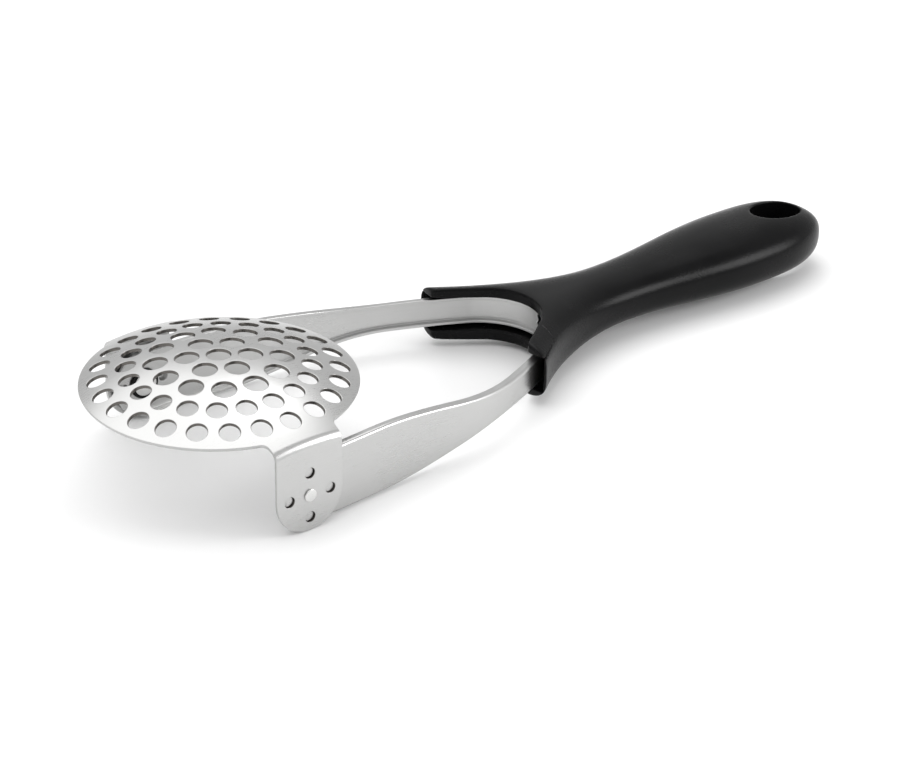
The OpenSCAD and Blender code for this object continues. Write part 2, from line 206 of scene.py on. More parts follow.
def bare_profile(t, edge, reach):
    """A plain rounded edge with as many rows as flange_profile has."""
    rows = []
    for a in np.linspace(0, np.pi / 2, 8):
        rows.append((edge * (1 - np.sin(a)), edge * (1 - np.cos(a)), np.sin(a), np.cos(a)))
    for a in np.linspace(np.pi / 2, np.pi, 5):
        rows.append((edge * (1 - np.sin(a)), t - edge * (1 + np.cos(a)), np.sin(a), np.cos(a)))
    for inset in np.linspace(edge, reach, 11)[1:]:
        rows.append((inset, t, 0, -1))
    return np.array(rows)


def fill_plane(contours, extra):
    """Triangles between closed contours (the first is the outer one) and extra inner points.
    Points come back in the order contours, then extra."""
    points, edges = [], []
    for c in contours:
        start = len(points)
        points += [tuple(p) for p in c]
        edges += [(start + i, start + (i + 1) % len(c)) for i in range(len(c))]
    points += [tuple(p) for p in extra]
    out = delaunay_2d_cdt([Vector(p) for p in points], edges, [], 0, 1e-7)
    origin = [o[0] for o in out[3]]
    tris = np.array([[origin[i] for i in f] for f in out[2] if len(f) == 3])
    xy = np.array(points)
    mid = xy[tris].mean(1)
    keep = contains(np.array(contours[0]), mid)
    for c in contours[1:]:
        c = np.array(c)
        centre, reach = c.mean(0), np.linalg.norm(c - c.mean(0), axis=1).max()
        near = np.linalg.norm(mid - centre, axis=1) < reach
        keep[near] &= ~contains(c, mid[near])
    tris = tris[keep]
    p = xy[tris]
    turn = np.cross(p[:, 1] - p[:, 0], p[:, 2] - p[:, 0])
    tris[turn < 0] = tris[turn < 0][:, ::-1]
    return tris


# how far the inner points of a sheet stay from its holes' edges, and from the ends of its profiles
HOLE_ROOM, GRID_ROOM = 0.3, 0.45


def sheet_metal(surface, t, loops, grid, back=None):
    """Verts, faces, normals and brush coordinates of a bent sheet. surface(uv) gives the outer face and
    back(uv) the inner one, where it isn't an even t away. Each loop is (outline, profile, hole), where the
    profile runs from the outer face to the inner one and may differ from point to point."""
    eps = 1e-3

    def frame_at(uv, face=surface):
        u = (face(uv + [eps, 0]) - face(uv - [eps, 0])) / (2 * eps)
        v = (face(uv + [0, eps]) - face(uv - [0, eps])) / (2 * eps)
        return u, v, unit(np.cross(u, v))

    loops = [(o, prof if prof.ndim == 3 else prof[:, None], hole) for o, prof, hole in loops]
    lines = [(o, inward(o, hole), prof) for o, prof, hole in loops]
    every = np.vstack([o for o, _, _ in lines])
    widest = [np.full(len(o), HOLE_ROOM if hole else prof[..., 0].max()) for o, prof, hole in loops]
    room = np.concatenate(widest)
    gap = np.full(len(grid), 1e9)
    for i in range(0, len(every), 256):
        d = np.linalg.norm(grid[:, None] - every[None, i : i + 256], axis=2) - room[i : i + 256]
        gap = np.minimum(gap, d.min(1))
    grid = grid[gap > GRID_ROOM]
    grid = grid[contains(lines[0][0], grid)]
    for o, _, _ in lines[1:]:
        centre = o.mean(0)
        grid = grid[np.linalg.norm(grid - centre, axis=1) > np.linalg.norm(o - centre, axis=1).max()]
    verts, normals, faces, blank = [], [], [], []
    first, last, count = [], [], 0
    for (o, into, prof), (_, _, hole) in zip(lines, loops):
        rings = []
        for row in prof:
            inset, depth, along_edge, along_face = row.T[..., None]
            uv = o + into * inset
            u, v, n = frame_at(uv)
            out = unit(-(unit(u) * into[:, :1] + unit(v) * into[:, 1:]))
            out = unit(out - n * np.sum(out * n, 1, keepdims=True))
            verts.append(surface(uv) - n * depth)
            normals.append(unit(n * along_face + out * along_edge))
            # the third value marks hole walls, which the head steel darkens, partly as painted shade
            blank.append(np.hstack([uv, np.broadcast_to(along_edge * hole, (len(o), 1))]))
            rings.append(count + np.arange(len(o)))
            count += len(o)
        ccw = np.sum(o[:, 0] * np.roll(o[:, 1], -1) - np.roll(o[:, 0], -1) * o[:, 1]) > 0
        for a, b in zip(rings, rings[1:]):
            q = np.stack([a, np.roll(a, -1), np.roll(b, -1), b], 1)
            faces.append(q[:, ::-1] if ccw != hole else q)
        first.append((rings[0], o + into * prof[0, :, :1]))
        last.append((rings[-1], o + into * prof[-1, :, :1]))
    n = frame_at(grid)[2]
    for side, ends in ((0, first), (1, last)):
        ids = np.concatenate([r for r, _ in ends] + [count + np.arange(len(grid))])
        if side and back:
            verts.append(back(grid))
            normals.append(-frame_at(grid, back)[2])
        else:
            verts.append(surface(grid) - n * t * side)
            normals.append(n * (1 - 2 * side))
        blank.append(np.hstack([grid, np.zeros((len(grid), 1))]))
        count += len(grid)
        tris = ids[fill_plane([c for _, c in ends], grid)]
        faces.append(tris if side == 0 else tris[:, ::-1])
    verts, normals = np.vstack(verts), np.vstack(normals)
    flat = [f for part in faces for f in part.tolist()]
    corners = normals[np.concatenate([np.array(part).ravel() for part in faces])]
    return verts, flat, corners, np.vstack(blank)


def hex_grid(x0, x1, y0, y1, step):
    """Points in staggered rows."""
    rows = []
    for j, y in enumerate(np.arange(y0, y1 + 1e-9, step * 0.866)):
        x = np.arange(x0 + (j % 2) * step / 2, x1 + 1e-9, step)
        rows.append(np.stack([x, np.full(len(x), y)], 1))
    return np.vstack(rows)


def circle(cx, cy, r, n):
    a = np.linspace(0, 2 * np.pi, n, endpoint=False)
    return np.stack([cx + r * np.cos(a), cy + r * np.sin(a)], 1)


def lathe(profile, n):
    """Verts and faces of a solid turned about Y. Each row of the profile is (radius, y); a profile that
    starts and ends at radius 0 closes itself, and any other is closed end to end."""
    profile = np.array(profile, float)
    closed = profile[0, 0] > 1e-9
    a = np.linspace(0, 2 * np.pi, n, endpoint=False)
    r, y = profile[:, :1], profile[:, 1:]
    verts = np.stack([r * np.cos(a), np.repeat(y, n, 1), r * np.sin(a)], 2)
    m, faces = len(profile), []
    for i in range(m if closed else m - 1):
        for j in range(n):
            k, i2 = (j + 1) % n, (i + 1) % m
            faces.append([i * n + j, i * n + k, i2 * n + k, i2 * n + j])
    return verts.reshape(-1, 3), faces


def weld(name, verts, faces, angle):
    """Joins coincident points, drops flat faces and makes normals point outward; smooth under an angle."""
    bm = bmesh.new()
    vs = [bm.verts.new(v) for v in verts]
    for f in faces:
        bm.faces.new([vs[i] for i in f])
    bmesh.ops.remove_doubles(bm, verts=bm.verts, dist=1e-5)
    bmesh.ops.dissolve_degenerate(bm, edges=bm.edges, dist=1e-6)
    bmesh.ops.recalc_face_normals(bm, faces=bm.faces)
    for f in bm.faces:
        f.smooth = True
    for e in bm.edges:
        e.smooth = e.calc_face_angle(0) < math.radians(angle)
    bm.verts.index_update()
    mesh = bpy.data.meshes.new(name)
    bm.to_mesh(mesh)
    bm.free()
    return mesh


def place_turned(name, profile, around, side, angle, material, node):
    """A piece turned about the pivot axis, on the side given as -1 or 1, fixed to the handle."""
    verts, faces = lathe(profile, around)
    mesh = weld(name, verts * [1, side, 1], faces, angle)
    mesh.transform(Matrix.Translation(PIVOT) @ Matrix.Scale(MM, 4))
    add_piece(name, mesh, material, "handle", node)


# ---- materials ----

def new_material(name):
    """A node material, its tree and its shader."""
    m = bpy.data.materials.new(name)
    m.use_nodes = True
    tree = m.node_tree
    shader = next(n for n in tree.nodes if n.type == "BSDF_PRINCIPLED")
    return m, tree, shader


def add(tree, kind, **values):
    """A node with properties and inputs set by name."""
    node = tree.nodes.new(kind)
    for key, value in values.items():
        if hasattr(node, key) and key not in node.inputs:
            setattr(node, key, value)
        else:
            node.inputs[key].default_value = value
    return node


def streaks(tree, scale, fine, blank=False):
    """Noise drawn out along one axis of the object, or of the flat blank, as brushing leaves it."""
    if blank:
        source = add(tree, "ShaderNodeAttribute", attribute_name="brush").outputs["Vector"]
    else:
        source = add(tree, "ShaderNodeTexCoord").outputs["Object"]
    mapping = add(tree, "ShaderNodeMapping")
    mapping.inputs["Scale"].default_value = scale
    tree.links.new(source, mapping.inputs["Vector"])
    noise = add(tree, "ShaderNodeTexNoise", Scale=fine, Detail=6.0, Roughness=0.65)
    tree.links.new(mapping.outputs["Vector"], noise.inputs["Vector"])
    return noise


def ramp_of(tree, source, low, high, a=0.3, b=0.7):
    """Source rescaled from a..b to low..high."""
    r = add(tree, "ShaderNodeMapRange")
    r.inputs["From Min"].default_value = a
    r.inputs["From Max"].default_value = b
    r.inputs["To Min"].default_value = low
    r.inputs["To Max"].default_value = high
    tree.links.new(source, r.inputs["Value"])
    return r.outputs["Result"]


def steel(name, colour, rough, streak_scale, bump, blank=False, punched=False):
    """Brushed stainless: directional streaks in height and gloss, with faint cloudy handling marks.
    The walls of punched holes are darker: partly the cut's own duller tone, partly painted shade and dark
    reflection inside the hole."""
    m, tree, shader = new_material(name)
    shader.inputs["Metallic"].default_value = 1.0
    shader.inputs["Specular Tint"].default_value = (1, 1, 1, 1)
    brush = streaks(tree, streak_scale, 1.0, blank)
    cloud = streaks(tree, (1, 1, 1), 45.0)
    mix = add(tree, "ShaderNodeMath", operation="MULTIPLY_ADD")
    tree.links.new(brush.outputs["Fac"], mix.inputs[0])
    mix.inputs[1].default_value = 0.7
    tree.links.new(ramp_of(tree, cloud.outputs["Fac"], 0.0, 0.3), mix.inputs[2])
    gloss = ramp_of(tree, mix.outputs[0], rough - 0.05, rough + 0.07, 0.25, 0.75)
    tree.links.new(gloss, shader.inputs["Roughness"])
    tint = add(tree, "ShaderNodeMix", data_type="RGBA")
    tint.inputs["A"].default_value = (*[c * 0.93 for c in colour], 1)
    tint.inputs["B"].default_value = (*colour, 1)
    tree.links.new(ramp_of(tree, mix.outputs[0], 0, 1, 0.25, 0.7), tint.inputs["Factor"])
    # painted shade: hole walls darkened to about a quarter, partly their own duller cut tone and partly the
    # shade inside the holes
    if punched:
        on_blank = add(tree, "ShaderNodeAttribute", attribute_name="brush")
        split = add(tree, "ShaderNodeSeparateXYZ")
        tree.links.new(on_blank.outputs["Vector"], split.inputs[0])
        cut = ramp_of(tree, split.outputs["Z"], 0, 1, 0.3, 0.9)
        wall_tone_and_shade = add(tree, "ShaderNodeMix", data_type="RGBA")
        wall_tone_and_shade.inputs["B"].default_value = (*[c * k for c, k in zip(colour, (0.26, 0.245, 0.23))], 1)
        tree.links.new(cut, wall_tone_and_shade.inputs["Factor"])
        tree.links.new(tint.outputs["Result"], wall_tone_and_shade.inputs["A"])
        tint = wall_tone_and_shade
    tree.links.new(tint.outputs["Result"], shader.inputs["Base Color"])
    b = add(tree, "ShaderNodeBump")
    b.inputs["Strength"].default_value = bump
    b.inputs["Distance"].default_value = 0.00006
    tree.links.new(brush.outputs["Fac"], b.inputs["Height"])
    tree.links.new(b.outputs["Normal"], shader.inputs["Normal"])
    return m


def plastic(name, colour, rough, grain_scale, grain, worn):
    """Black moulded plastic: fine even grain, small gloss changes, and slightly paler wear on the edges."""
    m, tree, shader = new_material(name)
    shader.inputs["Specular IOR Level"].default_value = 0.11
    coord = add(tree, "ShaderNodeTexCoord")
    fine = add(tree, "ShaderNodeTexNoise", Scale=grain_scale, Detail=3.0, Roughness=0.6)
    wide = add(tree, "ShaderNodeTexNoise", Scale=60.0, Detail=4.0, Roughness=0.6)
    for n in (fine, wide):
        tree.links.new(coord.outputs["Object"], n.inputs["Vector"])
    geometry = add(tree, "ShaderNodeNewGeometry")
    edge = ramp_of(tree, geometry.outputs["Pointiness"], 0.0, worn, 0.52, 0.62)
    tint = add(tree, "ShaderNodeMix", data_type="RGBA")
    tint.inputs["A"].default_value = (*colour, 1)
    tint.inputs["B"].default_value = (*[c * 2.6 + 0.01 for c in colour], 1)
    both = add(tree, "ShaderNodeMath", operation="MULTIPLY_ADD")
    tree.links.new(ramp_of(tree, wide.outputs["Fac"], 0.0, 0.22), both.inputs[0])
    both.inputs[1].default_value = 1.0
    tree.links.new(edge, both.inputs[2])
    tree.links.new(both.outputs[0], tint.inputs["Factor"])
    tree.links.new(tint.outputs["Result"], shader.inputs["Base Color"])
    tree.links.new(ramp_of(tree, wide.outputs["Fac"], rough - 0.03, rough + 0.05), shader.inputs["Roughness"])
    b = add(tree, "ShaderNodeBump")
    b.inputs["Strength"].default_value = grain
    b.inputs["Distance"].default_value = 0.00012
    tree.links.new(fine.outputs["Fac"], b.inputs["Height"])
    tree.links.new(b.outputs["Normal"], shader.inputs["Normal"])
    return m


HEAD_STEEL = steel("head_steel", (0.55, 0.55, 0.545), 0.29, (0.22, 2.4, 1.0), 0.02, True, True)
BAND_STEEL = steel("band_steel", (0.54, 0.54, 0.535), 0.29, (0.05, 2.6, 1.0), 0.02, True)
RIVET_STEEL = steel("rivet_steel", (0.70, 0.70, 0.69), 0.22, (900, 900, 900), 0.03)
NYLON = plastic("washer_nylon", (0.006, 0.006, 0.006), 0.5, 3000, 0.2, 0.2)
GRIP_PLASTIC = plastic("grip_plastic", (0.0018, 0.0018, 0.002), 0.25, 1400, 0.5, 0.2)


# ---- the head: domed plate and two bent tabs, pressed from one sheet ----

DOME_R = (PLATE_R**2 + CROWN**2) / (2 * CROWN)
BEND_OUT = BEND_R + SHEET_T
BEND_C = TAB_Y - BEND_OUT
BEND_RING = math.sqrt((DOME_R - BEND_OUT) ** 2 - BEND_C**2)
SLOPE = math.atan2(BEND_C, BEND_RING)
NECK_Y = DOME_R * math.sin(SLOPE)
BEND_ARC = BEND_OUT * (math.pi / 2 - SLOPE)
TAB_V = NECK_Y + BEND_ARC + PIVOT_DROP + BEND_RING - DOME_R + CROWN


def head_surface(uv):
    """Top face of the flat blank (x, v) bent into shape: v runs over the plate, the bend and the tab.
    The bend is swung about the middle of the dome's sphere, so that it leaves the dome smoothly."""
    x, v = uv[:, 0], uv[:, 1]
    a = np.abs(v)
    side = np.where(v < 0, -1.0, 1.0)
    dome = np.sqrt(np.maximum(DOME_R**2 - x * x - np.minimum(a, NECK_Y) ** 2, 1))
    turn = SLOPE + np.clip((a - NECK_Y) / BEND_OUT, 0, math.pi / 2 - SLOPE)
    down = np.maximum(a - NECK_Y - BEND_ARC, 0)
    ring = BEND_RING + BEND_OUT * np.cos(turn)
    bent = np.sqrt(ring**2 - x * x) - down - (np.sqrt(BEND_RING**2 - x * x) - BEND_RING) * smooth(down / 8)
    y = np.where(a <= NECK_Y, a, BEND_C + BEND_OUT * np.sin(turn))
    z = np.where(a <= NECK_Y, dome, bent) - DOME_R + CROWN
    return np.stack([x, side * y, PIVOT_DROP + z], 1)


def head_outline():
    """The flat blank in plan: the round plate, an arc in each corner and a tab with a round end."""
    f = CORNER_R
    c = np.array([TAB_HALF + f, math.sqrt((PLATE_R + f) ** 2 - (TAB_HALF + f) ** 2)])
    touch = c * PLATE_R / (PLATE_R + f)
    rim_a = math.atan2(touch[1], touch[0])
    quarter = [(PLATE_R * math.cos(a), PLATE_R * math.sin(a)) for a in np.linspace(0, rim_a, 60)]
    start = math.atan2(-touch[1] + c[1], -touch[0] + c[0]) + math.pi
    quarter += [(c[0] + f * math.cos(a), c[1] + f * math.sin(a)) for a in np.linspace(start, math.pi, 12)]
    quarter += [(TAB_HALF, y) for y in np.linspace(c[1], TAB_V, 50)[1:]]
    tab_end = np.linspace(0, np.pi / 2, 30)[1:]
    quarter += [(TAB_HALF * math.cos(a), TAB_V + TAB_HALF * math.sin(a)) for a in tab_end]
    q = np.array(quarter)
    half = np.vstack([q, (q * [-1, 1])[::-1][1:]])
    full = np.vstack([half, (half * [1, -1])[::-1][1:-1]])
    return resample(full, 0.7)


def build_head():
    rim = edge_profile(SHEET_T, 0.26, 0.16)
    punched = edge_profile(SHEET_T, 0.24, 0.08)
    loops = [(head_outline(), rim, False), (circle(0, 0, CENTRE_D / 2, 48), punched, True)]
    for r, n, d in RINGS:
        for i in range(n):
            a = np.pi / 2 + 2 * np.pi * i / n
            loops.append((circle(r * np.cos(a), r * np.sin(a), d / 2, 44), punched, True))
    for s in (-1, 1):
        for k in range(4):
            a = k * np.pi / 2
            spot = (DETENT_R * np.cos(a), s * TAB_V + DETENT_R * np.sin(a))
            loops.append((circle(*spot, DETENT_D / 2, 36), edge_profile(SHEET_T, 0.12, 0.08), True))
        loops.append((circle(0, s * TAB_V, RIVET_R + PLAY, 32), edge_profile(SHEET_T, 0.08, 0.08), True))
    plate = hex_grid(-42, 42, -42.4, 42.4, 1.35)
    plate = plate[np.abs(plate[:, 1]) < 38.4]
    parts = [plate]
    for s in (-1, 1):
        bend = np.linspace(NECK_Y, NECK_Y + BEND_ARC, 12)
        rows = np.concatenate([np.arange(38.8, NECK_Y - 0.3, 0.6), bend])
        for j, v in enumerate(rows):
            x = np.arange(-40 + (j % 2) * 0.5, 40, 1.0)
            parts.append(np.stack([x, np.full(len(x), s * v)], 1))
        parts.append(hex_grid(-12, 12, NECK_Y + BEND_ARC + 0.6, TAB_V + 12, 1.3) * [1, s])
    verts, faces, corners, blank = sheet_metal(head_surface, SHEET_T, loops, np.vstack(parts))
    place("head_plate", verts, faces, corners, HEAD_STEEL, "head", "masher_head", blank)


# ---- the band: one channel-section strip bent into a U ----

def band_curve():
    """Outer face of one side in plan, as points and outward directions by distance from the pivot end."""
    a0, a1, a2 = np.radians(ARM_ANGLES)
    r0, r1, r2 = ARM_RADII
    c1 = np.array([BASE_X, 0]) - (r1 - r2) * np.array([np.sin(a2), np.cos(a2)])
    c0 = c1 - (r0 - r1) * np.array([np.sin(a1), np.cos(a1)])
    p = c0 + r0 * np.array([np.sin(a0), np.cos(a0)])
    pad = p[0] - (ARM_Y - p[1]) / np.tan(a0)
    knots = [(-20.0, 0.0), (pad, 0.0), (pad + 1e-3, a0), (pad + (p[0] - pad) / np.cos(a0), a0)]
    s = knots[-1][0]
    for r, lo, hi in ((r0, a0, a1), (r1, a1, a2), (r2, a2, np.pi / 2)):
        s += r * (hi - lo)
        knots.append((s, hi))
    total = s
    ks, ka = np.array(knots).T
    ks, ka = np.append(ks, total + 20), np.append(ka, np.pi / 2 + 20 / r2)
    step = 0.05
    grid = np.arange(-20, total + 12, step)
    angle = np.interp(grid, ks, ka)
    width = int(2.0 / step)
    kernel = np.hanning(2 * width + 1)
    beyond = angle[-1] + (angle[-1] - angle[-2]) * np.arange(1, width + 1)
    padded = np.concatenate([np.full(width, angle[0]), angle, beyond])
    angle = np.convolve(padded, kernel / kernel.sum(), "valid")
    x = np.concatenate([[0], np.cumsum((np.cos(angle[1:]) + np.cos(angle[:-1])) / 2 * step)])
    y = np.concatenate([[0], np.cumsum((-np.sin(angle[1:]) - np.sin(angle[:-1])) / 2 * step)])
    x, y = x - np.interp(0, grid, x), y + ARM_Y
    at = np.interp(total, grid, x), np.interp(total, grid, y)
    share = np.clip(grid / total, 0, 1)
    x, y = x + share * (BASE_X + r2 - at[0]), y - share * at[1]
    return grid, x, y, total


CURVE_S, CURVE_X, CURVE_Y, ARM_LENGTH = band_curve()


def band_half(x):
    """Half the height of the band, which narrows from the pivot to the fork."""
    return ARM_HALF + (BAND_HALF - ARM_HALF) * ease((x - TAPER[0]) / (TAPER[1] - TAPER[0]))


def band_face(uv, rise):
    """Outer face: u is the distance from the middle of the base, positive on the +Y side, and v is height.
    rise gives the height of the bosses by distance from their middles."""
    u, z = uv[:, 0], uv[:, 1]
    s = ARM_LENGTH - np.abs(u)
    side = np.where(u < 0, -1.0, 1.0)
    x, y = np.interp(s, CURVE_S, CURVE_X), np.interp(s, CURVE_S, CURVE_Y)
    spots = DETENT_R * np.array([(1, 0), (-1, 0), (0, 1), (0, -1)])
    lift = rise(nearest(np.stack([s, z], 1), spots))
    return np.stack([x, side * (y + lift), z], 1)


def band_surface(uv):
    return band_face(uv, lambda d: BOSS_H * smooth((BOSS_R[0] - d) / (BOSS_R[0] - BOSS_R[1])))


def band_back(uv):
    """Inner face: the plain sheet, with a narrower recess behind each boss."""
    eps = [1e-3, 0]
    along = band_face(uv + eps, np.zeros_like) - band_face(uv - eps, np.zeros_like)
    out = unit(np.stack([along[:, 1], -along[:, 0], np.zeros(len(along))], 1))
    foot, top = BOSS_R[0] - BOSS_WALL, BOSS_R[1] - BOSS_WALL
    return band_face(uv, lambda d: BOSS_H * smooth((foot - d) / (foot - top))) - out * BAND_T


def build_band():
    s_taper = np.interp(np.linspace(0, 110, 240), CURVE_X[:-1], CURVE_S[:-1])
    top = [(s, band_half(np.interp(s, CURVE_S, CURVE_X))) for s in s_taper[1:]]
    top += [(s, BAND_HALF) for s in np.linspace(s_taper[-1], ARM_LENGTH, 60)[1:]]
    top = np.array(top)
    right_top = np.stack([ARM_LENGTH - top[:, 0], top[:, 1]], 1)
    end = [(ARM_LENGTH + ARM_END * np.sin(a), ARM_HALF * np.cos(a)) for a in np.linspace(0, np.pi, 60)]
    outline = np.vstack([right_top[::-1], np.array(end), right_top * [1, -1],
                         (right_top * [-1, -1])[::-1], np.array(end)[::-1] * [-1, 1], right_top * [-1, 1]])
    outline = resample(outline, 0.55)
    bare = smooth((np.abs(outline[:, 0]) - ARM_LENGTH - FLANGE_END + 0.7) / 1.4)[None, :, None]
    rim = flange_profile(BAND_T, FLANGE_D, FLANGE_BEND, FLANGE_LIP, FLANGE_INNER)[:, None] * (1 - bare)
    rim = rim + bare_profile(BAND_T, FLANGE_LIP, BAND_T + FLANGE_INNER)[:, None] * bare
    loops = [(outline, rim, False)]
    for s in (-1, 1):
        loops.append((circle(s * ARM_LENGTH, 0, RIVET_R, 32), edge_profile(BAND_T, 0.08, 0.08), True))
    dots = np.array([(s * (ARM_LENGTH - cx * DETENT_R), cz * DETENT_R) for s in (-1, 1)
                     for cx, cz in ((1, 0), (-1, 0), (0, 1), (0, -1))])
    grid = hex_grid(-ARM_LENGTH - 12, ARM_LENGTH + 12, -11.2, 11.2, 1.5)
    grid = grid[nearest(grid, dots) > 3.0]
    rings = [(0, 1), (0.4, 8), (0.8, 14), (1.15, 22)]
    rings += [(r, 40) for r in (1.35, 1.45, 1.55, 1.65, 1.75, 1.83, 1.9, 1.98, 2.06, 2.14, 2.22, 2.3)]
    rings += [(2.45, 34), (2.7, 24)]
    fine = [d + [r * np.cos(a), r * np.sin(a)] for d in dots for r, n in rings
            for a in np.linspace(0, 2 * np.pi, n, endpoint=False)]
    grid = np.vstack([grid, np.array(fine)])
    verts, faces, corners, blank = sheet_metal(band_surface, BAND_T, loops, grid, band_back)
    place("band_channel", verts, faces, corners, BAND_STEEL, "handle", "spring_band", blank)


# ---- the grip: a moulded shape given as a field that is negative inside ----

def grip_w(x):
    """Half the grip's width."""
    fork = WAIST[0] / 2 + FLARE * np.maximum(1 - np.clip((x - 100) / (GRIP_X[0] - 100), 0, 1), 0) ** 2.3
    swell = (WAIST[0] + (SWELL[0] - WAIST[0]) * ease((x - GRIP_X[0]) / (GRIP_X[1] - GRIP_X[0]))) / 2
    return np.where(x < GRIP_X[0], fork, swell)


def grip_h(x):
    """Half the grip's height."""
    fork = FORK_HALF + (WAIST[1] / 2 - FORK_HALF) * ease((x - THROAT_X - 8) / (GRIP_X[0] - THROAT_X - 8))
    swell = (WAIST[1] + (SWELL[1] - WAIST[1]) * ease((x - GRIP_X[0]) / (GRIP_X[1] - GRIP_X[0]))) / 2
    return np.where(x < GRIP_X[0], fork, swell)


def grip_mid(x):
    """Height of the grip's middle, which rises a little behind the fork."""
    return LIFT * ease((x - THROAT_X - 8) / (GRIP_X[0] - THROAT_X - 8))


def grip_field(x, y, z):
    """About the distance from the outside of the whole grip, fork included and uncut."""
    p = 4 + (2.3 - 4) * ease((x - TIP_X) / (GRIP_X[0] - TIP_X))
    zc = z - grip_mid(x)
    ry, rz = np.abs(y) / grip_w(x) + 1e-6, np.abs(zc) / grip_h(x) + 1e-6
    py, pz = ry**p, rz**p
    u = (py + pz) ** (1 / p)
    t = np.clip((x - GRIP_X[1]) / (END_X - GRIP_X[1]), 0, 2)
    m = (2.5 * py + 4.0 * pz) / (py + pz)
    g = np.sqrt(u * u + np.maximum(t, 1e-9) ** m)
    reach = np.sqrt(y * y + zc * zc + np.maximum(x - GRIP_X[1], 0) ** 2) + 1e-6
    return reach * (1 - 1 / np.maximum(g, 1e-3))


def throat_field(x, y):
    """Negative in the open throat between the branches."""
    a = math.radians(THROAT_A)
    qx, qy = x - THROAT_X, np.abs(y)
    along = -qx * math.cos(a) + qy * math.sin(a)
    return np.where(along > 0, qx * math.sin(a) + qy * math.cos(a), np.hypot(qx, qy)) - THROAT_R


def wedge_edge(x, y, a, b):
    """Signed distance from the line through a and b, positive on the far side of the centre line."""
    d = np.array(b) - np.array(a)
    d = d / np.hypot(*d)
    n = np.array([-d[1], d[0]])
    if n[1] < 0:
        n = -n
    return (x - a[0]) * n[0] + (np.abs(y) - a[1]) * n[1]


def groove_field(x, y, z):
    """Negative in the groove that takes the band, which is open towards the throat."""
    r, a = ARM_RADII[2], math.radians(ARM_ANGLES[2])
    root = (BASE_X + r * math.sin(a), r * math.cos(a))
    outer = (TIP_X + 3, float(grip_w(np.array(TIP_X + 3))) - WALL_T)
    b = math.radians(THROAT_A)
    far = (outer[0] - 20 * math.cos(b), outer[1] + 20 * math.sin(b))
    plan = np.maximum(wedge_edge(x, y, root, outer), wedge_edge(x, y, outer, far))
    plan = np.maximum(plan, x - root[0])
    plan = np.minimum(plan, np.hypot(x - BASE_X, y) - (r - BAND_T + 0.3))
    slot = np.maximum(np.abs(z) - GROOVE_HALF, plan)
    seat = np.maximum(np.abs(z) - BAND_HALF - 0.15, np.hypot(x - BASE_X, y) - r - 0.06)
    return np.minimum(slot, np.maximum(seat, BASE_X - x))


def tip_field(x, y, z):
    """Positive past the squared ends of the branches."""
    a = math.radians(THROAT_A)
    tip_y = THROAT_R * math.cos(a) + (THROAT_X + THROAT_R * math.sin(a) - TIP_X) * math.tan(a)
    s = math.radians(TIP_SLANT)
    lx = (x - TIP_X) * math.cos(s) - (np.abs(y) - tip_y) * math.sin(s)
    q0, q1 = TIP_R - lx, np.abs(z) - (FORK_HALF - TIP_R) - np.maximum(lx - TIP_R, 0)
    out = np.hypot(np.maximum(q0, 0), np.maximum(q1, 0)) + np.minimum(np.maximum(q0, q1), 0) - TIP_R
    return np.where(x < TIP_X + 12, out, -5)


def hole_field(x, y):
    """About the distance outside the hanging hole, negative within it."""
    a, b = HANG[0] / 2, HANG[1] / 2
    qx, qy = x - HANG_X, y
    k0 = np.hypot(qx / a, qy / b) + 1e-6
    k1 = np.hypot(qx / a**2, qy / b**2) + 1e-6
    return k0 * (k0 - 1) / k1


def grip_solid(x, y, z):
    """The whole grip: its outside, less the fork's squared ends, throat, groove and the hanging hole."""
    f = soft_max(grip_field(x, y, z), tip_field(x, y, z), 0.9)
    f = soft_max(f, -throat_field(x, y), 0.8)
    f = soft_max(f, -groove_field(x, y, z), 0.25)
    return soft_max(f, -hole_field(x, y), 0.7)


def surface_nets(values, origin, step):
    """Quads on the zero surface of a grid of values, negative inside."""
    inside = values < 0
    n = [m - 1 for m in values.shape]
    corners = [(i, j, k) for i in (0, 1) for j in (0, 1) for k in (0, 1)]
    count = sum(inside[i : n[0] + i, j : n[1] + j, k : n[2] + k].astype(np.int8) for i, j, k in corners)
    mask = (count > 0) & (count < 8)
    index = np.full(mask.shape, -1, np.int64)
    index[mask] = np.arange(mask.sum())
    cells = np.argwhere(mask)
    total, hits = np.zeros((len(cells), 3)), np.zeros(len(cells))
    for a in corners:
        for axis in range(3):
            if a[axis] == 0:
                b = list(a)
                b[axis] = 1
                fa = values[tuple((cells + a).T)]
                fb = values[tuple((cells + b).T)]
                cross = (fa < 0) != (fb < 0)
                t = np.where(cross, fa / np.where(cross, fa - fb, 1), 0)
                point = np.array(a) + t[:, None] * (np.array(b) - np.array(a))
                total[cross] += point[cross]
                hits[cross] += 1
    verts = (cells + total / hits[:, None]) * step + origin
    faces = []
    for axis in range(3):
        o1, o2 = [(1, 2), (2, 0), (0, 1)][axis]
        lo = [slice(1, m) for m in n]
        hi = [slice(1, m) for m in n]
        lo[axis], hi[axis] = slice(0, n[axis]), slice(1, n[axis] + 1)
        sa, sb = inside[tuple(lo)], inside[tuple(hi)]
        base = np.argwhere(sa != sb) + [0 if i == axis else 1 for i in range(3)]
        flip = sa[sa != sb]
        ring = []
        for d1, d2 in ((0, 0), (-1, 0), (-1, -1), (0, -1)):
            c = base.copy()
            c[:, o1] += d1
            c[:, o2] += d2
            ring.append(index[tuple(c.T)])
        quad = np.stack(ring, 1)
        quad[~flip] = quad[~flip][:, ::-1]
        faces.append(quad)
    return verts, np.vstack(faces)


def gradient(v):
    """Slope of grip_solid at each point."""
    e = 0.01
    g = np.zeros_like(v)
    for i in range(3):
        d = np.zeros(3)
        d[i] = e
        g[:, i] = (grip_solid(*(v + d).T) - grip_solid(*(v - d).T)) / (2 * e)
    return g


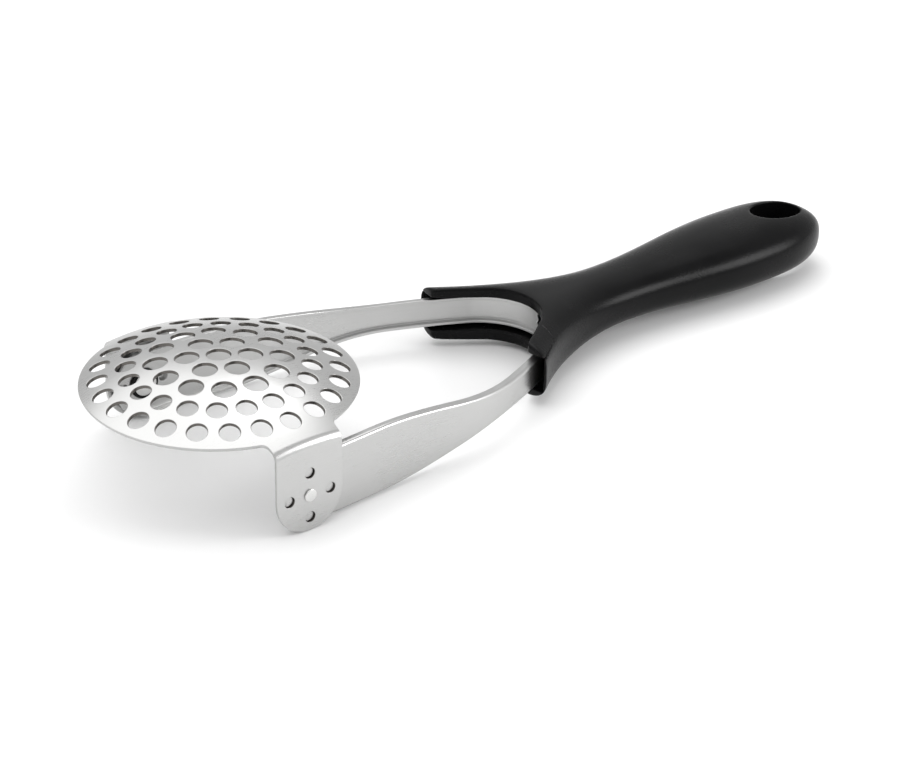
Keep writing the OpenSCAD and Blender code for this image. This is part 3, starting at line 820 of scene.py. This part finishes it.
def settle(v, rounds=4):
    """Moves points onto the exact surface of the grip."""
    for _ in range(rounds):
        g = gradient(v)
        f = grip_solid(*v.T)
        move = g * (f / np.maximum((g * g).sum(1), 1e-3))[:, None]
        size = np.linalg.norm(move, axis=1, keepdims=True)
        v = v - move * np.minimum(1, 0.25 / np.maximum(size, 1e-9))
    return v


def split_z(x):
    """Height of the cover's edge along the grip."""
    return grip_mid(x) - SPLIT_K * end_h(np.minimum(x, END_X - BLUNT))


def end_h(x):
    """Half the grip's height, rounded off towards the end."""
    t = np.clip((x - GRIP_X[1]) / (END_X - GRIP_X[1]), 0, 0.998)
    return grip_h(x) * np.sqrt(1 - t**4)


def grip_mesh():
    """The whole grip as a bmesh in millimetres, before the cover is cut from it."""
    step = 0.4
    x = np.arange(TIP_X - 3, END_X + 3, step)
    y = np.arange(0, 37, step) + step / 2
    z = np.arange(-12.5, 12.5, step)
    values = grip_solid(*np.meshgrid(x, y, z, indexing="ij"))
    values = np.concatenate([values[:, ::-1], values], 1).astype(np.float32)
    verts, quads = surface_nets(values, np.array([x[0], -y[-1], z[0]]), step)
    mesh = bpy.data.meshes.new("grip_raw")
    mesh.from_pydata(verts.tolist(), [], quads.tolist())
    obj = bpy.data.objects.new("grip_raw", mesh)
    bpy.context.scene.collection.objects.link(obj)
    thin = obj.modifiers.new("thin", "DECIMATE")
    thin.ratio = 0.5
    done = obj.evaluated_get(bpy.context.evaluated_depsgraph_get()).to_mesh()
    bm = bmesh.new()
    bm.from_mesh(done)
    bpy.data.objects.remove(obj)
    bmesh.ops.triangulate(bm, faces=bm.faces)
    v = settle(np.array([w.co for w in bm.verts]))
    for w, co in zip(bm.verts, v):
        w.co = co
    return bm


def cut_grip(bm):
    """Flattens the mesh, so that the cover's edge is the plane z = 0, and cuts it along that edge."""
    bmesh.ops.bisect_plane(bm, geom=list(bm.verts) + list(bm.edges) + list(bm.faces), dist=1e-5,
                           plane_co=(SPLIT_X, 0, 0), plane_no=(1, 0, 0))
    co = np.array([w.co for w in bm.verts])
    co[:, 2] -= split_z(co[:, 0])
    for w, c in zip(bm.verts, co):
        w.co = c
    for level in (-CUT_LIP - CUT_GAP, -CUT_GAP, 0.0, CUT_GAP, CUT_LIP + CUT_GAP):
        faces = [f for f in bm.faces if f.calc_center_median().x > SPLIT_X]
        edges = dict.fromkeys(e for f in faces for e in f.edges)
        verts = dict.fromkeys(w for f in faces for w in f.verts)
        bmesh.ops.bisect_plane(bm, geom=[*verts, *edges, *faces], dist=1e-5,
                               plane_co=(0, 0, level), plane_no=(0, 0, 1))


def keep_shell(part, edge, is_cover):
    """Deletes the faces of the flattened grip that belong to the other shell."""
    drop = []
    for f in part.faces:
        c = f.calc_center_median()
        if (c.x > SPLIT_X and c.z < edge) != is_cover:
            drop.append(f)
    bmesh.ops.delete(part, geom=drop, context="FACES")


def cap_cut(part, edge, rim, rim_verts):
    """Fills the level and the upright stretch of a cut that has two ends where they meet. The body's cut
    has, and the cover's hasn't, so it stays open. Returns the indices of the new faces."""
    level = [e for e in rim if all(abs(w.co.z - edge) < 1e-3 for w in e.verts)]
    on_level = set(level)
    upright = [e for e in rim if e not in on_level]
    ends = [w for w in rim_verts if abs(w.co.z - edge) < 1e-3 and abs(w.co.x - SPLIT_X) < 1e-3]
    skin = set(part.faces)
    if len(ends) == 2:
        bridge = part.edges.get(ends) or part.edges.new(ends)
        bmesh.ops.triangle_fill(part, edges=level + [bridge], use_beauty=True)
        if upright:
            bmesh.ops.triangle_fill(part, edges=upright + [bridge], use_beauty=True)
    part.faces.index_update()
    return {f.index for f in part.faces if f not in skin}


def soften_rim(part, rim_verts, is_cover):
    """Bends the shell back from flat and draws its rim in a little, with the normals leaning over it.
    Returns the points and their normals."""
    is_rim = np.array([w in rim_verts for w in part.verts])
    co = np.array([w.co for w in part.verts])
    co[:, 2] += split_z(co[:, 0])
    normal = unit(gradient(co))
    leaning = normal[is_rim] + [0, 0, RIM_LEAN if is_cover else -RIM_LEAN]
    co[is_rim] -= normal[is_rim] * RIM_INSET
    normal[is_rim] = unit(leaning)
    return co, normal


def place_shell(name, node, part, edge, is_cover):
    """Makes one shell out of a copy of the whole flattened grip."""
    keep_shell(part, edge, is_cover)
    rim = [e for e in part.edges if e.is_boundary]
    rim_verts = dict.fromkeys(w for e in rim for w in e.verts)
    caps = cap_cut(part, edge, rim, rim_verts)
    co, normal = soften_rim(part, rim_verts, is_cover)
    for w, c in zip(part.verts, co):
        w.co = c
    bmesh.ops.recalc_face_normals(part, faces=part.faces)
    part.normal_update()
    part.verts.index_update()
    faces, corners = [], []
    for f in part.faces:
        ids = [w.index for w in f.verts]
        faces.append(ids)
        flat = f.index in caps
        corners += [tuple(f.normal) if flat else tuple(normal[i]) for i in ids]
    place(name, co, faces, corners, GRIP_PLASTIC, "handle", node)


def build_grip():
    whole = grip_mesh()
    cut_grip(whole)
    for name, node, edge, is_cover in (("grip_body", "handle_body", CUT_GAP, False),
                                       ("grip_cover", "handle_cover", -CUT_GAP, True)):
        part = whole.copy()
        place_shell(name, node, part, edge, is_cover)
        part.free()
    whole.free()


# ---- rivets, washers and the stud ----

def rivet_profile():
    """(radius, y) from the outer head's middle, down the shank and out over the tail."""
    head_y, tail_y = TAB_Y + PLAY, ARM_Y - BAND_T - TAIL_WASHER_T
    r, h, shank, tail, th = RIVET_HEAD_R, RIVET_HEAD_H, RIVET_R, RIVET_TAIL_R, RIVET_TAIL_H
    out = [(0, head_y + h)]
    out += [(r * 0.62 * k / 4, head_y + h - 0.08 * (k / 4) ** 2) for k in range(1, 5)]
    shoulder = np.radians((75, 50, 25, 0))
    out += [(r - 0.28 + 0.28 * math.cos(a), head_y + 0.24 + 0.28 * math.sin(a)) for a in shoulder]
    out += [(r, head_y + 0.06), (r - 0.06, head_y), (shank + 0.05, head_y), (shank, head_y - 0.05)]
    out += [(shank, tail_y + 0.05), (shank + 0.05, tail_y), (tail - 0.06, tail_y), (tail, tail_y - 0.06)]
    out += [(tail * (0.45 + 0.55 * math.cos(a)), tail_y - th * (0.25 + 0.75 * math.sin(a)))
            for a in np.radians(np.arange(0, 91, 9))]
    out += [(0, tail_y - th)]
    return out


def washer_profile(y0, y1, r_in, r_out, c=0.12):
    """(radius, y) round a washer's section, with chamfers of c."""
    return [(r_in + c, y1), (r_out - c, y1), (r_out, y1 - c), (r_out, y0 + c), (r_out - c, y0),
            (r_in + c, y0), (r_in, y0 + c), (r_in, y1 - c)]


def build_fixings():
    inside = ARM_Y - BAND_T
    spacer = washer_profile(ARM_Y, ARM_Y + SPACER_T, RIVET_R, SPACER_R)
    tail = washer_profile(inside - TAIL_WASHER_T, inside, RIVET_R, TAIL_WASHER_R)
    for side, name in ((-1, "left"), (1, "right")):
        title = name + "_rivet"
        place_turned(title + "_turned", rivet_profile(), 56, side, 50, RIVET_STEEL, title)
        for kind, profile in (("spacer", spacer), ("tail", tail)):
            title = f"{name}_{kind}_washer"
            place_turned(title + "_turned", profile, 72, side, 30, NYLON, title)


def finish_stud():
    """The anchor stud is the CAD's own, with its edges softened."""
    stud = frame["nodes"]["anchor_stud"]
    stud.data.materials.clear()
    stud.data.materials.append(RIVET_STEEL)
    soft = stud.modifiers.new("soft_edges", "BEVEL")
    soft.width, soft.segments, soft.limit_method = 0.00018, 2, "ANGLE"
    soft.angle_limit = math.radians(40)


build_head()
build_band()
build_grip()
build_fixings()
finish_stud()


# ---- floor, lights and camera ----

def white_floor():
    """A pale matt material with faint cloudy changes."""
    m, tree, shader = new_material("floor_white")
    noise = streaks(tree, (1, 1, 1), 14.0)
    tint = add(tree, "ShaderNodeMix", data_type="RGBA")
    tint.inputs["A"].default_value = (0.90, 0.90, 0.90, 1)
    tint.inputs["B"].default_value = (0.93, 0.93, 0.93, 1)
    tree.links.new(noise.outputs["Fac"], tint.inputs["Factor"])
    tree.links.new(tint.outputs["Result"], shader.inputs["Base Color"])
    shader.inputs["Roughness"].default_value = 0.75
    shader.inputs["Specular IOR Level"].default_value = 0.15
    return m


def build_floor():
    """A wide floor under the part. It isn't part of the object."""
    bm = bmesh.new()
    bmesh.ops.create_grid(bm, x_segments=8, y_segments=8, size=12.0)
    mesh = bpy.data.meshes.new("floor")
    bm.to_mesh(mesh)
    bm.free()
    mesh.materials.append(white_floor())
    floor = bpy.data.objects.new("floor", mesh)
    bpy.context.scene.collection.objects.link(floor)
    floor.location = (0, 0, CAD_BOX[0].z - 0.0001)


def area_light(name, at, aim, size, power):
    data = bpy.data.lights.new(name, "AREA")
    data.shape, data.size, data.size_y, data.energy = "RECTANGLE", size[0], size[1], power
    lamp = bpy.data.objects.new(name, data)
    bpy.context.scene.collection.objects.link(lamp)
    lamp.location = at
    lamp.rotation_mode = "QUATERNION"
    lamp.rotation_quaternion = (Vector(at) - Vector(aim)).to_track_quat("Z", "Y")


def build_lights():
    world = bpy.data.worlds.new("studio")
    bpy.context.scene.world = world
    world.use_nodes = True
    background = next(n for n in world.node_tree.nodes if n.type == "BACKGROUND")
    background.inputs["Color"].default_value = (1, 1, 1, 1)
    background.inputs["Strength"].default_value = 0.72
    area_light("top_softbox", (-0.15, 0.30, 0.95), (0, 0, 0), (1.6, 1.3), 7.6)
    area_light("key", (0.31, 0.33, 0.73), (-0.105, 0, 0.02), (0.3, 0.3), 0.45)
    area_light("near_panel", (0.61, -0.665, 0.42), (0.08, 0, 0.01), (0.45, 0.4), 4.4)


def build_camera(azimuth, elevation, roll, lens, place_at):
    """A camera turned by azimuth, elevation and roll in degrees, at a point given from the pivot."""
    a, e, roll = np.radians((azimuth, elevation, roll))
    back = Vector((math.sin(a) * math.cos(e), -math.cos(a) * math.cos(e), math.sin(e)))
    right = Vector((math.cos(a), math.sin(a), 0))
    up = back.cross(right)
    x = right * math.cos(roll) - up * math.sin(roll)
    y = right * math.sin(roll) + up * math.cos(roll)
    at = PIVOT + place_at
    data = bpy.data.cameras.new("camera")
    data.lens, data.sensor_width, data.sensor_fit = lens, 36.0, "HORIZONTAL"
    data.clip_start, data.clip_end = 0.01, 100
    cam = bpy.data.objects.new("camera", data)
    bpy.context.scene.collection.objects.link(cam)
    cam.matrix_world = Matrix((*zip(x, y, back, at), (0, 0, 0, 1)))
    bpy.context.scene.camera = cam


build_floor()
build_lights()
build_camera(-39.25, 28.159, -0.828, 116.73, (-0.43645, -0.6440, 0.4336))
bpy.context.scene.view_settings.view_transform = "Standard"
